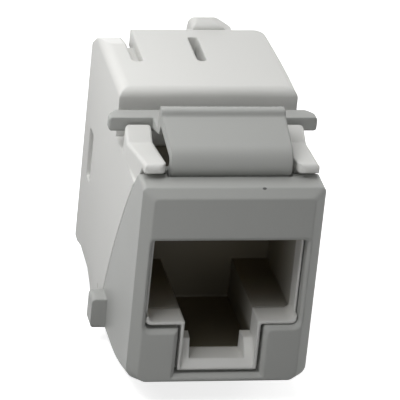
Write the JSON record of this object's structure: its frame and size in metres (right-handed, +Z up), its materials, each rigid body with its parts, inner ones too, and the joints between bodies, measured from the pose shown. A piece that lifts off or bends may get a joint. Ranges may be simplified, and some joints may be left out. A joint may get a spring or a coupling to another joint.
{
  "type": "keystone jack",
  "caption": "Snap-in modular jack: grey bevelled front with a plug opening and press latch, white body behind it, and a rear wire cap.",
  "frame": {"origin": "bottom centre of the whole jack's box: the level of the fixed hook's tip", "axes": "+X to the right when the plug opening is faced, +Y back from the front face, +Z up towards the latch"},
  "size_m": [0.0168, 0.0258, 0.0225],
  "materials": {
    "grey_plastic": "fine satin moulding",
    "white_plastic": "fine satin moulding",
    "black_plastic": "satin",
    "gold_contact": "bright plated",
    "tinned_contact": "tinned",
    "circuit_board": "solder mask"
  },
  "bodies": {
    "housing": {"front_housing": "grey_plastic", "core_body": "white_plastic", "contact_carrier": "black_plastic", "circuit_board": "circuit_board", "idc_block": "white_plastic", "contact_1": "gold_contact", "contact_2": "gold_contact", "contact_3": "gold_contact", "contact_4": "gold_contact", "contact_5": "gold_contact", "contact_6": "gold_contact", "contact_7": "gold_contact", "contact_8": "gold_contact", "idc_terminal_1": "tinned_contact", "idc_terminal_2": "tinned_contact", "idc_terminal_3": "tinned_contact", "idc_terminal_4": "tinned_contact", "idc_terminal_5": "tinned_contact", "idc_terminal_6": "tinned_contact", "idc_terminal_7": "tinned_contact", "idc_terminal_8": "tinned_contact"},
    "latch": {"latch_arm": "grey_plastic"},
    "cap": {"wire_cap": "white_plastic"}
  },
  "joints": [
    {"name": "latch_flex", "type": "hinge", "parent": "housing", "child": "latch", "pos_m": [0, -0.00987, 0.0186], "axis": [-1, 0, 0], "range_deg": [0, 10], "stiffness_Nm_per_rad": 0.05},
    {"name": "cap_slide", "type": "slide", "parent": "housing", "child": "cap", "axis": [0, 1, 0], "range_m": [0, 0.006]}
  ]
}
